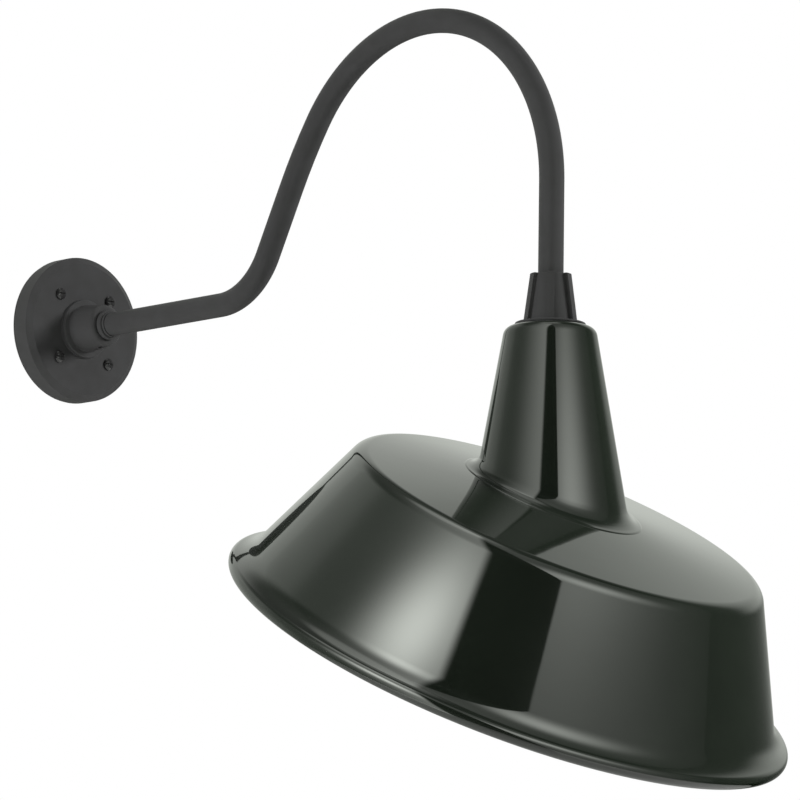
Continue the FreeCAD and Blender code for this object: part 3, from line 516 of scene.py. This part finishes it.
class Wiring:
    """Short calls for the node tree of a lamp or of the world."""

    def __init__(self, tree):
        self.tree = tree

    def node(self, kind, inputs=(), **settings):
        made = self.tree.nodes.new(kind)
        for key, value in settings.items():
            setattr(made, key, value)
        for index, value in enumerate(inputs):
            if isinstance(value, bpy.types.NodeSocket):
                self.tree.links.new(value, made.inputs[index])
            else:
                made.inputs[index].default_value = value
        return made

    def math(self, operation, *inputs):
        return self.node("ShaderNodeMath", inputs, operation=operation).outputs[0]

    def ramp(self, value, stops):
        """Levels between (value, level) stops, smoothly joined."""
        low, high = stops[0][0], stops[-1][0]
        share = self.node("ShaderNodeMapRange", (value, low, high, 0.0, 1.0)).outputs[0]
        made = self.node("ShaderNodeFloatCurve", (1.0, share))
        curve = made.mapping.curves[0]
        top = max(level for _, level in stops)
        while len(curve.points) < len(stops):
            curve.points.new(0.5, 0.5)
        for point, (place, level) in zip(curve.points, stops):
            point.location = ((place - low) / (high - low), level / top)
        made.mapping.update()
        return self.math("MULTIPLY", made.outputs[0], top)

    def bell(self, value, centre, width):
        """1 at the centre, and less to both sides."""
        off = self.math("DIVIDE", self.math("SUBTRACT", value, centre), width)
        return self.math("EXPONENT", self.math("MULTIPLY", self.math("MULTIPLY", off, off), -1.0))


def lamp(name, azimuth, elevation, distance, size, energy):
    """A square lamp that faces the shade and that the camera doesn't see."""
    data = bpy.data.lights.new(name, "AREA")
    data.shape = "SQUARE"
    data.size = size
    data.energy = energy
    way = direction(azimuth, elevation)
    obj = bpy.data.objects.new(name, data)
    obj.location = SHADE_MIDDLE + way * distance
    obj.rotation_euler = way.to_track_quat("Z", "Y").to_euler()
    obj.visible_camera = False
    scene.collection.objects.link(obj)
    return obj


def softbox(name, azimuth, elevation, distance, size, spot_at, spot_size, spot, edge, edge_blur, wash,
            wash_width):
    """A lamp for the gloss, with a bright spot and a wash that fades from its edge; past the edge it is dark.

    Places are in metres from the lamp's centre, to the right as the lamp sees the shade, and up. Its energy
    makes a strength of 1 in its nodes a brightness of 1.
    """
    obj = lamp(name, azimuth, elevation, distance, size, math.pi * size * size)
    obj.visible_diffuse = False
    data = obj.data
    data.color = TINT
    data.use_nodes = True
    wiring = Wiring(data.node_tree)
    parametric = wiring.node("ShaderNodeNewGeometry").outputs["Parametric"]
    face = wiring.node("ShaderNodeSeparateXYZ", (parametric,)).outputs
    right = wiring.math("MULTIPLY", wiring.math("SUBTRACT", face["X"], 0.5), size)
    up = wiring.math("MULTIPLY", wiring.math("SUBTRACT", face["Y"], 0.5), size)
    round_spot = wiring.math("MULTIPLY", wiring.bell(right, spot_at[0], spot_size[0]),
                             wiring.bell(up, spot_at[1], spot_size[1]))
    bright = wiring.math("MULTIPLY", round_spot, spot)
    fading = wiring.math("MULTIPLY", wiring.bell(right, edge, wash_width), wash)
    half_blur = edge_blur / 2 if spot_at[0] > edge else -edge_blur / 2
    shown = wiring.node("ShaderNodeMapRange", (right, edge - half_blur, edge + half_blur, 0.0, 1.0),
                        interpolation_type="SMOOTHSTEP").outputs[0]
    strength = wiring.math("MULTIPLY", wiring.math("ADD", bright, fading), shown)
    data.node_tree.links.new(strength, data.node_tree.nodes["Emission"].inputs["Strength"])


def fill(name, azimuth, elevation, distance, size, level):
    """A plain lamp for the matte parts, not seen in the gloss; it makes a white that faces it this bright."""
    obj = lamp(name, azimuth, elevation, distance, size, math.pi ** 2 * distance * distance * level)
    obj.visible_glossy = False


def studio():
    """World: white to the camera and through glass, and round the shade a backdrop of graded levels."""
    world = bpy.data.worlds.new("studio")
    scene.world = world
    world.use_nodes = True
    tree = world.node_tree
    wiring = Wiring(tree)
    generated = wiring.node("ShaderNodeTexCoord").outputs["Generated"]
    ray = wiring.node("ShaderNodeSeparateXYZ", (generated,)).outputs
    outwards = wiring.math("MULTIPLY", ray["Y"], -1.0)
    azimuth = wiring.math("DEGREES", wiring.math("ARCTAN2", ray["X"], outwards))
    elevation = wiring.math("DEGREES", wiring.math("ARCSINE", ray["Z"]))
    graded = wiring.math("MULTIPLY", wiring.ramp(azimuth, AROUND), wiring.ramp(elevation, UPWARDS))
    behind = wiring.math("MULTIPLY", wiring.ramp(azimuth, BEHIND_AROUND),
                         wiring.ramp(elevation, BEHIND_UPWARDS))
    level = wiring.math("ADD", wiring.math("ADD", graded, behind), wiring.ramp(elevation, CEILING))
    backdrop = tree.nodes["Background"]
    tree.links.new(level, backdrop.inputs["Strength"])
    backdrop.inputs["Color"].default_value = (*TINT, 1)
    white = wiring.node("ShaderNodeBackground", ((1, 1, 1, 1), 1.0))
    path = wiring.node("ShaderNodeLightPath").outputs
    seen = wiring.math("MAXIMUM", path["Is Camera Ray"], path["Is Transmission Ray"])
    mix = wiring.node("ShaderNodeMixShader", (seen, backdrop.outputs[0], white.outputs[0]))
    tree.links.new(mix.outputs[0], tree.nodes["World Output"].inputs["Surface"])


studio()
softbox("softbox_left", -80, 23, 0.36, 1.0, spot_at=(0.075, -0.12), spot_size=(0.085, 0.065), spot=9.0,
        edge=0.17, edge_blur=0.03, wash=2.5, wash_width=0.16)
softbox("softbox_right", -6, 15, 0.9, 2.6, spot_at=(-0.1, 0.1), spot_size=(0.38, 0.26), spot=4.0,
        edge=-0.345, edge_blur=0.02, wash=0.6, wash_width=1.1)
fill("fill_left", -105, 5, 3.0, 1.0, 1.0)
fill("fill_right", 50, 25, 3.0, 0.9, 1.8)
fill("overhead", 0, 82, 3.0, 1.5, 0.25)

floor = bpy.data.objects.new("floor", bpy.data.meshes.new("floor"))
floor_corners = [(-FLOOR_SIDE, FLOOR_FRONT, FLOOR), (FLOOR_SIDE, FLOOR_FRONT, FLOOR),
                 (FLOOR_SIDE, FLOOR_BACK, FLOOR), (-FLOOR_SIDE, FLOOR_BACK, FLOOR)]
floor.data.from_pydata(floor_corners, [], [(0, 1, 2, 3)])
floor.data.materials.append(plain("pale_floor", (0.75, 0.75, 0.74), 0.8, scale=20))
scene.collection.objects.link(floor)

scene.view_settings.view_transform = "Standard"
